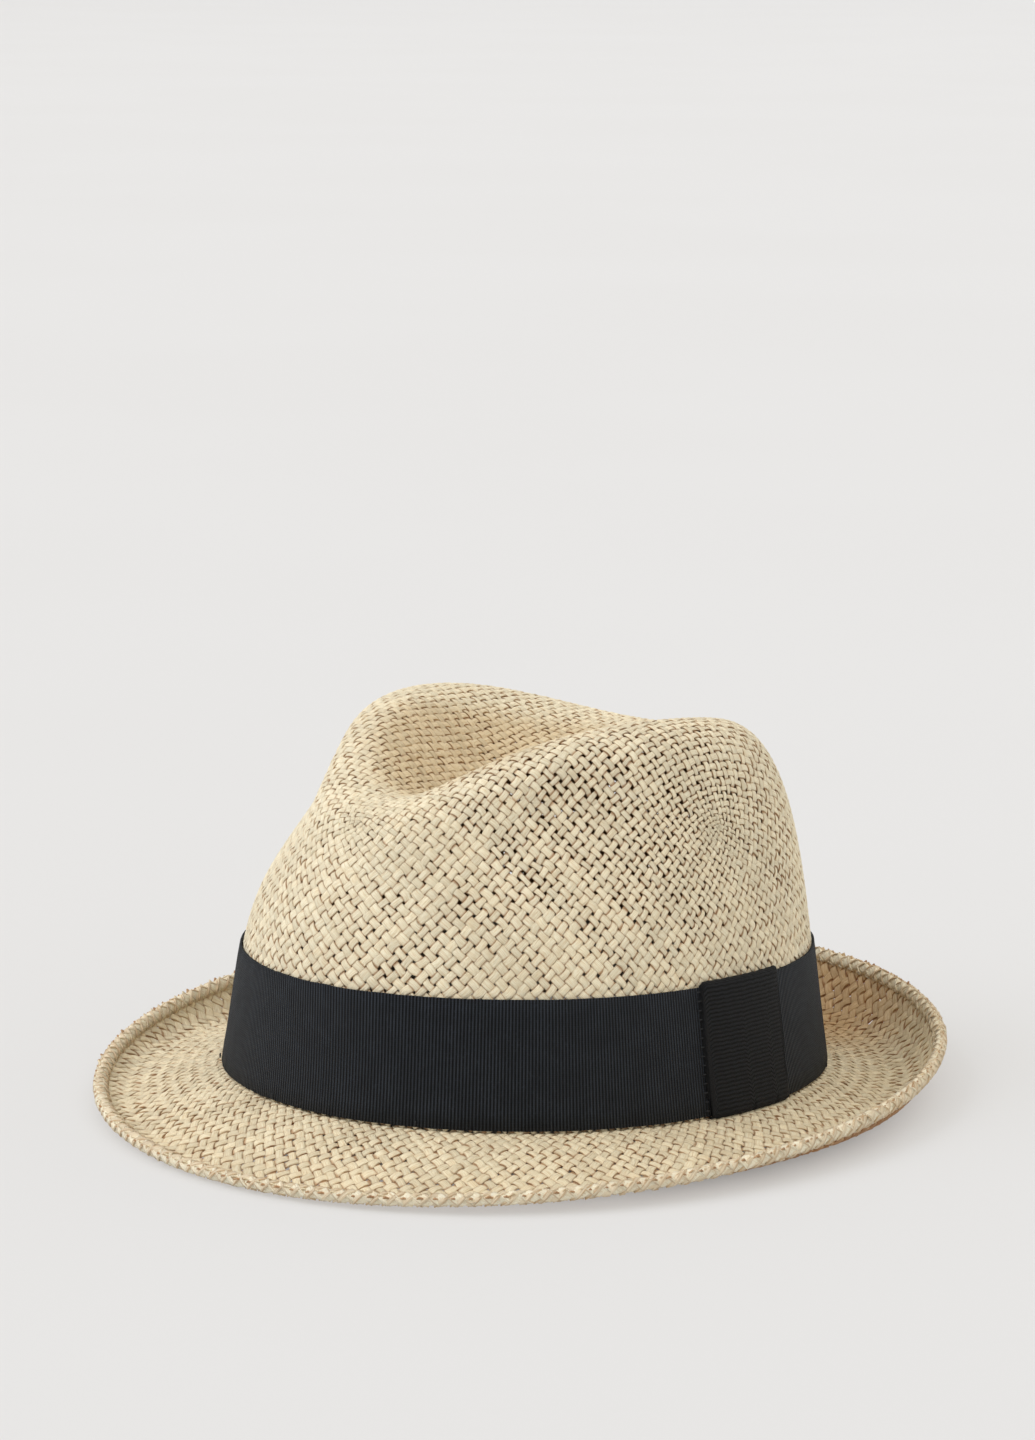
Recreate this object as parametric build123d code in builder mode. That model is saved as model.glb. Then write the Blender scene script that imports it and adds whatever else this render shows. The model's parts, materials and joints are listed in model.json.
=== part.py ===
from build123d import *
import math
import os

os.makedirs("parts", exist_ok=True)

# A short-brimmed woven straw hat with a creased crown and a ribbon band.
# Millimetres and degrees. The hat is shaped in its block frame: +X front, +Y the wearer's left,
# +Z up, with the origin in the middle of the brim break, where the crown wall meets the brim.
# rest_plane then sets that frame down on the floor, on the front and the back of the brim.
# An angle goes round the crown from the front, 0, by the wearer's left, 90, to the back, 180.

# ---- straw ----
straw = 1.4                   # thickness of the woven straw
hem_width = 5.0               # margin of the brim that is folded back under itself

# ---- crown foot and wall ----
foot_half_length = 103.0      # outside of the crown at the brim break, front to back
foot_half_width = 87.5        # outside of the crown at the brim break, side to side
wall_handle = 47.5            # how high the wall keeps the slope that it starts with
front_lean = 5.0              # slope of the wall inwards at its foot
back_lean = 8.0
side_lean = 13.0
front_shoulder = 45.0         # reach of the rounding from the crest out to the wall
back_shoulder = 16.5
side_shoulder = 39.5

# ---- crest, the rounded rim of the dent ----
crest_front = 72.0            # where the crest ends, forward of the middle of the foot
crest_back = 58.0             # and behind it
crest_half_width = 43.0
crest_taper = 0.34            # share by which the crest narrows to the front and widens to the back
crest_height = 111.5          # height of the crest along the sides
crest_front_height = 90.0     # height of its low front lip
crest_back_height = 99.5
lip_sharpness = 5.0           # how short the fall to the front lip is
back_sharpness = 5.0          # how short the fall to the back is

# ---- front pinches ----
pinch_depth = 13.0            # how far each side of the front is pressed in
pinch_angle = 52.0            # where round the crown
pinch_span = 37.0             # how wide round the crown
pinch_level = 0.64            # where up the wall, as a share of it
pinch_reach = 0.22            # how tall, as a share of the wall

# ---- dent ----
dent_centre = 16.0            # forward of the middle of the foot
dent_front_floor = 82.0       # height of its floor under the front lip
dent_back_floor = 92.0        # height of its floor under the back of the crest

# ---- brim ----
brim_front = 141.5            # edge of the brim, from the middle of the foot
brim_back = 135.5
brim_half_width = 124.5
edge_mean = 4.3               # mean height of the edge over the break
edge_swing = 14.6             # how much lower it is in front, and higher at the back
edge_sag = 0.5                # how much lower it is at both ends than at the sides
front_drop = 20.5             # slope of the brim in front, as a fall over its whole width
back_drop = 2.5               # and at the back
side_drop = 11.2              # and at the sides
drop_bend = 1.3               # 1 is a straight slope
curl_bend = 6.0               # the higher, the nearer to the edge the brim turns up
flange = 2.6                  # margin of the brim inside the crown, under the crown's foot

# ---- ribbon ----
ribbon = 0.6                  # thickness of the grosgrain ribbon
ribbon_width = 37.5
ribbon_lift = 0.9             # lower edge of the band over the break
keeper_angle = 85.5           # middle of the keeper
keeper_width = 38.5
keeper_overhang = 0.7         # how far it stands past both edges of the band
ribbon_joint = 0.8            # gap between the ends of the band, behind the keeper

# ---- sweatband ----
sweatband = 1.0               # thickness
sweatband_width = 28.0
sweatband_joint = 0.8         # gap between its ends, at the back
tape = 0.5                    # thickness of the tape over the joint and of the label
tape_width = 12.0
label_width = 24.0
label_height = 14.0
label_angle = 157.0           # middle of the label

# ---- thread ----
thread = 0.5                  # diameter of every thread
stitch_length = 3.0
stitch_count = 84             # machine stitches along the foot of the sweatband
stitch_rise = 3.0             # their height over the break
tack_length = 1.6
tack_count = 10               # hand tacks along the lower edge of the band
keeper_stitch_count = 14      # hand stitches up the front edge of the keeper

# ---- fits ----
lay = 0.25                    # air between layers that lie on each other
seam_gap = 0.15               # air between the foot of the crown and the brim

# ---- how finely the curves are drawn ----
ring_points = 36
wall_shares = [0, 0.08, 0.18, 0.3, 0.42, 0.53, 0.64, 0.74, 0.83, 0.91, 0.97]
dent_shares = [1.0, 0.9, 0.77, 0.62, 0.46, 0.3, 0.15]
brim_shares = [0, 0.1, 0.22, 0.36, 0.5, 0.64, 0.76, 0.86, 0.94]
hem_profile = [(0, 1), (0.25, 1.7), (0.5, 2), (0.75, 2), (1, 2)]  # shares of the margin, and layers of straw there
strip_steps = 5               # rings up a ribbon or sections along one


def bezier(start, start_handle, end_handle, end, share):
    """Point of a cubic curve at a share of its run."""
    rest = 1 - share
    near = start * rest**3 + start_handle * (3 * share * rest**2)
    far = end_handle * (3 * share**2 * rest) + end * share**3
    return near + far


def front_back_side(angle, front, back, side):
    """Value at an angle, from its values in front, at the back and at the sides."""
    along = math.cos(math.radians(angle))
    across = math.sin(math.radians(angle))
    end_value = front if along > 0 else back
    return end_value * along**2 + side * across**2


# ---------------------------------------------------------------- shape of the crown

def foot_normal(angle):
    """Unit vector out of the crown at its foot."""
    turn = math.radians(angle)
    return Vector(math.cos(turn) / foot_half_length, math.sin(turn) / foot_half_width, 0).normalized()


def foot_point(angle, inset=0.0):
    """Point of the foot, moved into the crown by inset."""
    turn = math.radians(angle)
    outside = Vector(foot_half_length * math.cos(turn), foot_half_width * math.sin(turn), 0)
    return outside - foot_normal(angle) * inset


def crest_point(angle):
    """Point of the crest, outside."""
    turn = math.radians(angle)
    along, across = math.cos(turn), math.sin(turn)
    middle = (crest_front - crest_back) / 2
    half_length = (crest_front + crest_back) / 2
    front_share = ((1 + along) / 2) ** lip_sharpness
    back_share = ((1 - along) / 2) ** back_sharpness
    height = crest_height
    height += (crest_front_height - crest_height) * front_share
    height += (crest_back_height - crest_height) * back_share
    width = crest_half_width * across * (1 - crest_taper * along)
    return Vector(middle + half_length * along, width, height)


def pinch_at(angle, share):
    """How far the pinches press the wall in."""
    pressed = 0.0
    for side in (1, -1):
        away = (angle - side * pinch_angle + 180) % 360 - 180
        pressed += pinch_depth * math.exp(-((away / pinch_span) ** 2))
    return pressed * math.exp(-(((share - pinch_level) / pinch_reach) ** 2))


def wall_point(angle, share, inset=0.0):
    """Point of the wall, from the foot at share 0 to the crest at share 1."""
    foot = foot_point(angle, inset)
    crest = crest_point(angle) - Vector(0, 0, inset)
    outward = foot_point(angle) - crest_point(angle)
    outward = Vector(outward.X, outward.Y, 0).normalized()
    lean = front_back_side(
        angle,
        math.tan(math.radians(front_lean)),
        math.tan(math.radians(back_lean)),
        math.tan(math.radians(side_lean)),
    )
    shoulder = front_back_side(angle, front_shoulder, back_shoulder, side_shoulder)
    foot_handle = foot + Vector(0, 0, wall_handle) - foot_normal(angle) * (lean * wall_handle)
    crest_handle = crest + outward * (shoulder - inset)
    point = bezier(foot, foot_handle, crest_handle, crest, share)
    return point - outward * pinch_at(angle, share)


def dent_point(angle, share, inset=0.0):
    """Point of the dent, from its middle at share 0 to the crest at share 1."""
    rim = crest_point(angle)
    middle = Vector(dent_centre, 0, 0)
    x = middle.X + (rim.X - middle.X) * share
    y = rim.Y * share
    backward = (crest_front - x) / (crest_front + crest_back)
    floor = dent_front_floor + (dent_back_floor - dent_front_floor) * backward
    swell = share**2 * (3 - 2 * share)
    return Vector(x, y, floor + (rim.Z - floor) * swell - inset)


def point_on_wall(angle, rise, outset=0.0):
    """Point at a distance up the wall from the foot, and out from it by outset."""
    foot = foot_point(angle)
    if rise <= 0:
        return foot_point(angle, -outset) + Vector(0, 0, rise)
    low, high = 0.0, 1.0
    for _ in range(24):
        share = (low + high) / 2
        if (wall_point(angle, share) - foot).length < rise:
            low = share
        else:
            high = share
    return wall_point(angle, share, -outset)


# ---------------------------------------------------------------- shape of the brim

def edge_point(angle):
    """Point of the edge of the brim, on top."""
    turn = math.radians(angle)
    middle = (brim_front - brim_back) / 2
    half_length = (brim_front + brim_back) / 2
    height = edge_mean - edge_swing * math.cos(turn) - edge_sag * math.cos(2 * turn)
    return Vector(middle + half_length * math.cos(turn), brim_half_width * math.sin(turn), height)


def brim_point(angle, share, depth=0.0):
    """Point of the brim, from the break at share 0 to the edge at share 1."""
    foot = foot_point(angle)
    edge = edge_point(angle)
    drop = front_back_side(angle, front_drop, back_drop, side_drop)
    height = (edge.Z + drop) * share**curl_bend - drop * share**drop_bend
    return Vector(
        foot.X + (edge.X - foot.X) * share,
        foot.Y + (edge.Y - foot.Y) * share,
        height - depth,
    )


def brim_width_at(angle):
    """Width of the brim, in plan."""
    across = edge_point(angle) - foot_point(angle)
    return math.hypot(across.X, across.Y)


def hem_point(angle, share, layers):
    """Point under the folded margin, from the end of the fold at share 0 to the edge at share 1."""
    hem_share = hem_width / brim_width_at(angle)
    return brim_point(angle, 1 - hem_share * (1 - share), seam_gap + layers * straw)


# ---------------------------------------------------------------- how the hat rests

def underside():
    """Points under the brim, in the block frame."""
    points = []
    for angle in range(0, 360, 5):
        points += [brim_point(angle, share, seam_gap + straw) for share in brim_shares]
        points += [hem_point(angle, share, layers) for share, layers in hem_profile]
    return points


def tipped_height(point, pitch):
    """Height of a point once the front is tipped up by pitch."""
    turn = math.radians(pitch)
    return point.X * math.sin(turn) + point.Z * math.cos(turn)


def resting_pitch():
    """Tip at which the front and the back of the brim stand equally low."""
    points = underside()
    low, high = -20.0, 20.0
    for _ in range(40):
        pitch = (low + high) / 2
        front = min(tipped_height(point, pitch) for point in points if point.X > 0)
        back = min(tipped_height(point, pitch) for point in points if point.X < 0)
        if front < back:
            low = pitch
        else:
            high = pitch
    return pitch


pitch = resting_pitch()
tip = math.radians(pitch)
front_reach = max(
    edge_point(angle).X * math.cos(tip) - edge_point(angle).Z * math.sin(tip) for angle in range(-20, 21)
)
back_reach = min(
    edge_point(angle).X * math.cos(tip) - edge_point(angle).Z * math.sin(tip) for angle in range(160, 201)
)
rest_height = -min(tipped_height(point, pitch) for point in underside())
rest_plane = Plane(
    origin=(-(front_reach + back_reach) / 2, 0, rest_height),
    x_dir=(math.cos(tip), 0, math.sin(tip)),
    z_dir=(-math.sin(tip), 0, math.cos(tip)),
)


def seat(point):
    """Point of the block frame as it lies on the resting hat."""
    return rest_plane.from_local_coords(point)


# ---------------------------------------------------------------- skins and strips

def ring(shape, *where):
    """Closed curve of a shape right round the hat."""
    points = [seat(shape(360 * step / ring_points, *where)) for step in range(ring_points)]
    with BuildLine() as line:
        Spline(*points, periodic=True)
    return line.wire()


def solid_between(outside, inside):
    """Solid between two skins, each a list of rings, and a vertex where a skin closes."""
    faces = [*Shell.make_loft(outside).faces(), *Shell.make_loft(inside).faces()]
    faces += Shell.make_loft([outside[0], inside[0]], ruled=True).faces()
    if isinstance(outside[-1], Wire):
        faces += Shell.make_loft([outside[-1], inside[-1]], ruled=True).faces()
    return Solid(Shell(Face.sew_faces(faces)[0]))


def hoop(bottom, top, near, far):
    """Strip right round the wall, between two rises and two outsets."""
    rises = [bottom + (top - bottom) * step / (strip_steps - 1) for step in range(strip_steps)]
    outside = [ring(point_on_wall, rise, far) for rise in rises]
    inside = [ring(point_on_wall, rise, near) for rise in rises]
    return solid_between(outside, inside)


def wall_plane(angle, rise, outset):
    """Plane across the wall: X out of it, Y up it, Z round the crown."""
    here = seat(point_on_wall(angle, rise, outset))
    up = (seat(point_on_wall(angle, rise + 1, outset)) - here).normalized()
    out = (seat(point_on_wall(angle, rise, outset + 1)) - here).normalized()
    around = out.cross(up).normalized()
    return Plane(origin=here, x_dir=out, z_dir=around)


def strip_section(angle, corners):
    """Closed outline across the wall, from corners given as (outset, rise)."""
    plane = wall_plane(angle, 0, 0)
    outline = [plane.to_local_coords(seat(point_on_wall(angle, rise, outset))) for outset, rise in corners]
    with BuildSketch(plane) as section:
        with BuildLine():
            Polyline(*[(point.X, point.Y) for point in outline], close=True)
        make_face()
    return section.sketch


def angles_across(middle, width, outset):
    """Angles along a strip of the given width round the wall."""
    step = (point_on_wall(middle + 1, 0, outset) - point_on_wall(middle, 0, outset)).length
    half = width / 2 / step
    return [middle + half * (2 * index / (strip_steps - 1) - 1) for index in range(strip_steps)]


def strip(middle, width, corners):
    """Strip of the given width across the wall at an angle, with the given cross-section."""
    outset = max(outset for outset, rise in corners)
    return [strip_section(angle, corners) for angle in angles_across(middle, width, outset)]


def flat_corners(near, far, bottom, top):
    """Cross-section of a plain strip, with points along it so that it follows the wall."""
    rises = [bottom + (top - bottom) * step / (strip_steps - 1) for step in range(strip_steps)]
    return [(far, rise) for rise in rises] + [(near, rise) for rise in reversed(rises)]


# Outsets of the layers from the outside of the straw wall, counted outwards.
band_near = lay
band_far = band_near + ribbon
keeper_near = band_far + lay
keeper_far = keeper_near + ribbon
sweat_far = -straw - lay
sweat_near = sweat_far - sweatband
tape_far = sweat_near - lay
tape_near = tape_far - tape

# Heights of the layers, up the wall from the break.
band_top = ribbon_lift + ribbon_width
keeper_bottom = ribbon_lift - keeper_overhang
keeper_top = band_top + keeper_overhang
sweat_bottom = lay
sweat_top = sweat_bottom + sweatband_width
tape_bottom = stitch_rise + thread + lay

# ---- woven crown, from its foot up the wall, over the crest and down into the dent ----
def crown_skin(inset):
    """Rings of the crown at a depth under its outside, closed in the middle of the dent."""
    rings = [ring(wall_point, share, inset) for share in wall_shares]
    rings += [ring(dent_point, share, inset) for share in dent_shares]
    return [*rings, Vertex(*seat(dent_point(0, 0, inset)))]


with BuildPart() as straw_crown:
    add(solid_between(crown_skin(0), crown_skin(straw)))
straw_crown.part.label = "straw_crown"
export_step(straw_crown.part, "parts/straw_crown.step")

# ---- woven brim, with a margin under the foot of the crown and its edge folded back under ----
def flange_point(angle, inset, depth):
    """Point of the margin inside the crown, level with the break."""
    return foot_point(angle, inset) - Vector(0, 0, depth)


def flange_rings(depth):
    """Rings of the margin inside the crown."""
    return [ring(flange_point, flange * share, depth) for share in (1.0, 0.5)]


with BuildPart() as straw_brim:
    brim_top = flange_rings(seam_gap)
    brim_top += [ring(brim_point, share, seam_gap) for share in [*brim_shares, 1.0]]
    brim_under = flange_rings(seam_gap + straw)
    brim_under += [ring(brim_point, share, seam_gap + straw) for share in brim_shares[:-2]]
    brim_under += [ring(hem_point, share, layers) for share, layers in hem_profile]
    add(solid_between(brim_top, brim_under))
straw_brim.part.label = "straw_brim"
export_step(straw_brim.part, "parts/straw_brim.step")

# ---- grosgrain band round the foot of the crown, its ends meeting behind the keeper ----
with BuildPart() as ribbon_band:
    add(hoop(ribbon_lift, band_top, band_near, band_far))
    with BuildSketch(wall_plane(keeper_angle, ribbon_lift + ribbon_width / 2, 0)):
        Rectangle(ribbon_width, 2 * ribbon_width)
    extrude(amount=ribbon_joint / 2, both=True, mode=Mode.SUBTRACT)
ribbon_band.part.label = "ribbon_band"
export_step(ribbon_band.part, "parts/ribbon_band.step")

# ---- keeper, a flat piece of the same ribbon, folded over both edges of the band ----
keeper_rises = [keeper_bottom + (keeper_top - keeper_bottom) * step / 4 for step in range(5)]
keeper_inner_rises = [keeper_bottom + ribbon, *keeper_rises[1:-1], keeper_top - ribbon]
keeper_corners = [(keeper_far, rise) for rise in keeper_rises]
keeper_corners += [(lay, keeper_top), (lay, keeper_top - ribbon)]
keeper_corners += [(keeper_near, rise) for rise in reversed(keeper_inner_rises)]
keeper_corners += [(lay, keeper_bottom + ribbon), (lay, keeper_bottom)]
with BuildPart() as ribbon_keeper:
    loft(strip(keeper_angle, keeper_width, keeper_corners))
ribbon_keeper.part.label = "ribbon_keeper"
export_step(ribbon_keeper.part, "parts/ribbon_keeper.step")

# ---- sweatband inside the foot of the crown, its ends meeting at the back ----
with BuildPart() as sweatband_strip:
    add(hoop(sweat_bottom, sweat_top, sweat_near, sweat_far))
    with BuildSketch(wall_plane(180, sweat_bottom + sweatband_width / 2, sweat_far)):
        Rectangle(sweatband_width, 2 * sweatband_width)
    extrude(amount=sweatband_joint / 2, both=True, mode=Mode.SUBTRACT)
sweatband_strip.part.label = "sweatband"
export_step(sweatband_strip.part, "parts/sweatband.step")

# ---- tape over the joint of the sweatband, and the blank label beside it ----
with BuildPart() as joint_tape:
    loft(strip(180, tape_width, flat_corners(tape_near, tape_far, tape_bottom, sweat_top)))
joint_tape.part.label = "joint_tape"
export_step(joint_tape.part, "parts/joint_tape.step")

with BuildPart() as blank_label:
    label_corners = flat_corners(tape_near, tape_far, tape_bottom, tape_bottom + label_height)
    loft(strip(label_angle, label_width, label_corners))
blank_label.part.label = "blank_label"
export_step(blank_label.part, "parts/blank_label.step")

# ---- machine stitches that hold the sweatband in the foot of the crown ----
stitch_outset = sweat_near - lay - thread / 2
with BuildPart() as sweatband_stitches:
    stitch_angles = [360 * (index + 0.5) / stitch_count for index in range(stitch_count)]
    with Locations(*[wall_plane(angle, stitch_rise, stitch_outset) for angle in stitch_angles]):
        Cylinder(thread / 2, stitch_length)
sweatband_stitches.part.label = "sweatband_stitches"
export_step(sweatband_stitches.part, "parts/sweatband_stitches.step")

# ---- hand tacks along the lower edge of the band, clear of the keeper ----
tack_outset = band_far + lay + thread / 2
with BuildPart() as band_tacks:
    tack_angles = [keeper_angle + 360 * (index + 1) / (tack_count + 1) for index in range(tack_count)]
    with Locations(*[wall_plane(angle, ribbon_lift + tack_length / 2, tack_outset) for angle in tack_angles]):
        Cylinder(thread / 2, tack_length, rotation=(90, 0, 0))
band_tacks.part.label = "band_tacks"
export_step(band_tacks.part, "parts/band_tacks.step")

# ---- hand stitches that hold the front edge of the keeper to the band ----
keeper_edge = angles_across(keeper_angle, keeper_width + 2 * lay + tack_length, keeper_near)[0]
keeper_stitch_pitch = ribbon_width / keeper_stitch_count
with BuildPart() as keeper_stitches:
    rises = [ribbon_lift + keeper_stitch_pitch * (index + 0.5) for index in range(keeper_stitch_count)]
    with Locations(*[wall_plane(keeper_edge, rise, tack_outset) for rise in rises]):
        Cylinder(thread / 2, tack_length)
keeper_stitches.part.label = "keeper_stitches"
export_step(keeper_stitches.part, "parts/keeper_stitches.step")
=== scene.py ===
"""A fedora of woven paper straw with a ribbon band, dressed over its CAD frame.

Metres, in the frame's own axes: +X front, +Y the wearer's left, +Z up.
"""

import json
import math

import bmesh
import bpy
import numpy as np
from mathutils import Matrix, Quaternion, Vector
from mathutils.bvhtree import BVHTree

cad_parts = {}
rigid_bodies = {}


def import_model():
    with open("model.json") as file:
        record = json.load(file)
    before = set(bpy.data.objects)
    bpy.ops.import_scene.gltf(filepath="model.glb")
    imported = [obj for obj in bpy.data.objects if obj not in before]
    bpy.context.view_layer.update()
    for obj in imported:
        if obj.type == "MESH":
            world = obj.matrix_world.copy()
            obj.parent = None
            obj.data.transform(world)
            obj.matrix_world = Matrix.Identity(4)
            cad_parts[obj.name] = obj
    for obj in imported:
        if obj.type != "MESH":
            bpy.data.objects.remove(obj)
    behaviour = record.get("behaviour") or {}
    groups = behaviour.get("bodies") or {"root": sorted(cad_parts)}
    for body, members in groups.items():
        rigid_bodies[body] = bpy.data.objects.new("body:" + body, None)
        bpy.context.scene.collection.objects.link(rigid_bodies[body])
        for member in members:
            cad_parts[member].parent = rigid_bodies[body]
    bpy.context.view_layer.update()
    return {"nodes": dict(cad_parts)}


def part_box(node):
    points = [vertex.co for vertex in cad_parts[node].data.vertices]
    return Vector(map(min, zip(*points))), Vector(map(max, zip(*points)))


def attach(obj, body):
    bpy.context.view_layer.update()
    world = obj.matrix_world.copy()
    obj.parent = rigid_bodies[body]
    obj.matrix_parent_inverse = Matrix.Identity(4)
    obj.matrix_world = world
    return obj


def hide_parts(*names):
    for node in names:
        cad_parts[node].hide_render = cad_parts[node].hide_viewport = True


for leftover in list(bpy.data.objects):
    bpy.data.objects.remove(leftover)
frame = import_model()
nodes = frame["nodes"]
chance = np.random.default_rng(23)

# ---------------------------------------------------------------- sizes

hat_centre = (-0.0029, 0.0)      # middle of the head opening, in plan
wall_thickness = 0.0014          # two crossing straws of the crown and brim
straw_width = 0.0031             # about the widest that a straw lies
straw_thickness = 0.00042
loose_end_thickness = 0.00025
straw_lift = 0.0003              # how far a straw rises from the middle of the weave as it crosses another
straw_crown_height = 0.00024     # the most that a straw's middle stands above its edges
crown_fill = 0.84                # share of the room between two crossings that a straw fills
brim_fill = 0.9                  # the same on the brim
crossing_slip = 0.0002           # how far the crossings of the crown commonly stray
top_reach = 35                   # crossings from the middle of the top to each three-way corner
wall_rows = 45                   # rows of crossings from the top's edge to the brim
first_pitch = 0.0027             # rough length between two crossings
crown_pieces = 6                 # pieces of the scene that share out the crown's straws
settle_rounds = 80               # times that the crossings move to even out
brim_straws = 176                # straws each way around the brim
brim_rows = 18                   # rows of crossings from the brim's foot to its edge
edge_growth = 0.4                # about how much longer the brim's edge is than its foot
lean_share = 0.72                # room between leaning straws, as a share of their pitch round the hat
brim_slip = 0.00022              # how far the crossings of the brim commonly stray
brim_pieces = 2                  # pieces of the scene that share out the brim's straws
hem_straws = 172                 # straws wound over the edge of the brim
hem_reach = 0.0014               # half the width of the wound edge
hem_height = 0.0011              # half its height
hem_travel = 0.0058              # how far a wound straw runs along the edge, each way from its middle
loose_ends_round = 18            # cut ends of straw all round the edge
loose_ends_left = 12             # and more of them on the wearer's left
foot_below = 0.03                # the rim at the crown's foot lies under this height
ribbon_rib = 0.001               # pitch of the grosgrain's ribs
ribbon_thickness = 0.0006
keeper_width = 0.0385            # along the band
keeper_angle = math.radians(85.5)    # from the front towards the wearer's left
sweatband_thickness = 0.001
sweatband_stitches = 84          # each draws the cloth in a little
steps = 3                        # points along a straw for each crossing
fewest_hits = 60                 # a line of a hoop with no more than this is a gap, and is bridged


# ---------------------------------------------------------------- finding the CAD surfaces

def merged_copy(node):
    bm = bmesh.new()
    bm.from_mesh(node.data)
    bmesh.ops.remove_doubles(bm, verts=bm.verts, dist=1e-6)
    return bm


def spread_of_faces(first, seen):
    """All the faces joined to one face."""
    queue, found = [first], []
    seen.add(first)
    while queue:
        face = queue.pop()
        found.append(face)
        for edge in face.edges:
            for other in edge.link_faces:
                if other not in seen:
                    seen.add(other)
                    queue.append(other)
    return found


def outer_skin(node):
    """The outer face of a thin wall, cut free along its sharp rims."""
    bm = merged_copy(node)
    rims = [e for e in bm.edges if len(e.link_faces) == 2 and e.calc_face_angle(0) > math.radians(60)]
    bmesh.ops.split_edges(bm, edges=rims)
    seen, best, most = set(), [], 0.0
    for face in bm.faces:
        if face not in seen:
            found = spread_of_faces(face, seen)
            area = sum(f.calc_area() for f in found)
            if area > most:
                best, most = found, area
    keep = set(best)
    bmesh.ops.delete(bm, geom=[f for f in bm.faces if f not in keep], context="FACES")
    return bm


def whole_skin(node):
    bm = merged_copy(node)
    tree = BVHTree.FromBMesh(bm)
    bm.free()
    return tree


def plan_direction(angle):
    return Vector((math.cos(angle), math.sin(angle), 0))


def unit(vectors):
    return vectors / np.maximum(np.linalg.norm(vectors, axis=-1, keepdims=True), 1e-12)


def run_along(line):
    """How far along a line of points each of them lies."""
    return np.concatenate([[0], np.cumsum(np.linalg.norm(np.diff(line, axis=0), axis=1))])


def placed(name, mesh, finish):
    """A smooth object for a finished mesh, in its one finish."""
    mesh.materials.append(finish)
    mesh.polygons.foreach_set("use_smooth", np.ones(len(mesh.polygons), bool))
    piece = bpy.data.objects.new(name, mesh)
    bpy.context.scene.collection.objects.link(piece)
    return piece


# ---------------------------------------------------------------- straps: straws, ribbons and tapes

def strap_piece(name, straps, finish, thickness, side=0.0, close=False):
    """One piece made of straps, each laid out on a flat grid and then thickened.

    A strap is its points, along by across, how far along they lie, its tone and its rise.
    """
    bm = bmesh.new()
    for points, *_ in straps:
        rows, across = points.shape[:2]
        bmesh.ops.create_grid(bm, x_segments=across - 1, y_segments=rows - 1, size=0.5)
    mesh = bpy.data.meshes.new(name)
    bm.to_mesh(mesh)
    bm.free()
    places = np.concatenate([points.reshape(-1, 3) for points, *_ in straps])
    mesh.vertices.foreach_set("co", places.astype(np.float32).ravel())
    over, length, tones, rises = [], [], [], []
    for points, along, tone, rise in straps:
        rows, across = points.shape[:2]
        over.append(np.tile(np.linspace(0, 1, across), rows))
        length.append(np.repeat(along * 100, across))
        tones.append(np.full(rows * across, tone))
        rises.append(np.repeat(np.broadcast_to(rise, rows), across))
    over, length = np.concatenate(over), np.concatenate(length)
    corner = np.zeros(len(mesh.loops), np.int32)
    mesh.loops.foreach_get("vertex_index", corner)
    lay = mesh.uv_layers.new(name="lay")
    lay.data.foreach_set("uv", np.stack([over[corner], length[corner]], 1).astype(np.float32).ravel())
    for label, values in (("tone", tones), ("rise", rises)):
        store = mesh.attributes.new(label, "FLOAT", "POINT")
        store.data.foreach_set("value", np.concatenate(values).astype(np.float32))
    if close:
        bm = bmesh.new()
        bm.from_mesh(mesh)
        bmesh.ops.remove_doubles(bm, verts=bm.verts, dist=1e-6)
        bm.to_mesh(mesh)
        bm.free()
    mesh.update()
    piece = placed(name, mesh, finish)
    wall = piece.modifiers.new("wall", "SOLIDIFY")
    wall.thickness = thickness
    wall.offset = side
    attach(piece, "root")
    return piece


def along_curve(knots, count):
    """Points on a smooth curve through the knots, count steps from each to the next."""
    ends = np.concatenate([2 * knots[:1] - knots[1:2], knots, 2 * knots[-1:] - knots[-2:-1]])
    before, start, stop, after = ends[:-3], ends[1:-2], ends[2:-1], ends[3:]
    out = []
    for step in range(count):
        t = step / count
        straight = 2 * start + (stop - before) * t
        bent = (2 * before - 5 * start + 4 * stop - after) * t * t
        twisted = (3 * start - before - 3 * stop + after) * t ** 3
        out.append(0.5 * (straight + bent + twisted))
    out = np.stack(out, 1).reshape(-1, knots.shape[1])
    return np.concatenate([out, knots[-1:]])


def evenly(line, count, trim=0.0):
    """count points at equal lengths along a line of points."""
    lengths = run_along(line)
    wanted = np.linspace(trim, lengths[-1] - trim, count)
    return np.stack([np.interp(wanted, lengths, line[:, axis]) for axis in range(3)], 1)


def straw_strap(places, normals, signs, widths, tone):
    """A straw that passes over and under the ones that it crosses."""
    middle = along_curve(places, steps)
    up = unit(along_curve(normals, steps))
    width = along_curve(widths[:, None], steps)[:, 0]
    count = len(middle)
    turn = np.arange(count) / steps
    crossing = np.minimum(np.floor(turn).astype(int), len(signs) - 1)
    wave = np.cos(np.pi * (turn - np.floor(turn))) * signs[crossing]
    rise = wave * (1.35 - 0.35 * wave * wave)
    drift = along_curve(chance.normal(0, 0.00009, (len(places), 1)), steps)
    middle = middle + up * (straw_lift * rise)[:, None]
    ahead = unit(np.gradient(middle, axis=0))
    aside = unit(np.cross(ahead, up))
    middle = middle + aside * drift
    stand = unit(np.cross(aside, ahead))
    tilt = along_curve(chance.normal(0, 0.00005, (len(places), 1)), steps)[:, 0]
    bulge = straw_crown_height * (0.65 + 0.35 * rise)
    rows = []
    for part in (-1.0, -0.62, 0.0, 0.62, 1.0):
        height = bulge * (0.5 - part * part) + tilt * part
        rows.append(middle + aside * (width * part / 2)[:, None] + stand * height[:, None])
    return np.stack(rows, 1), run_along(middle) + chance.uniform(0, 1), tone, rise


# ---------------------------------------------------------------- finishes

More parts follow.
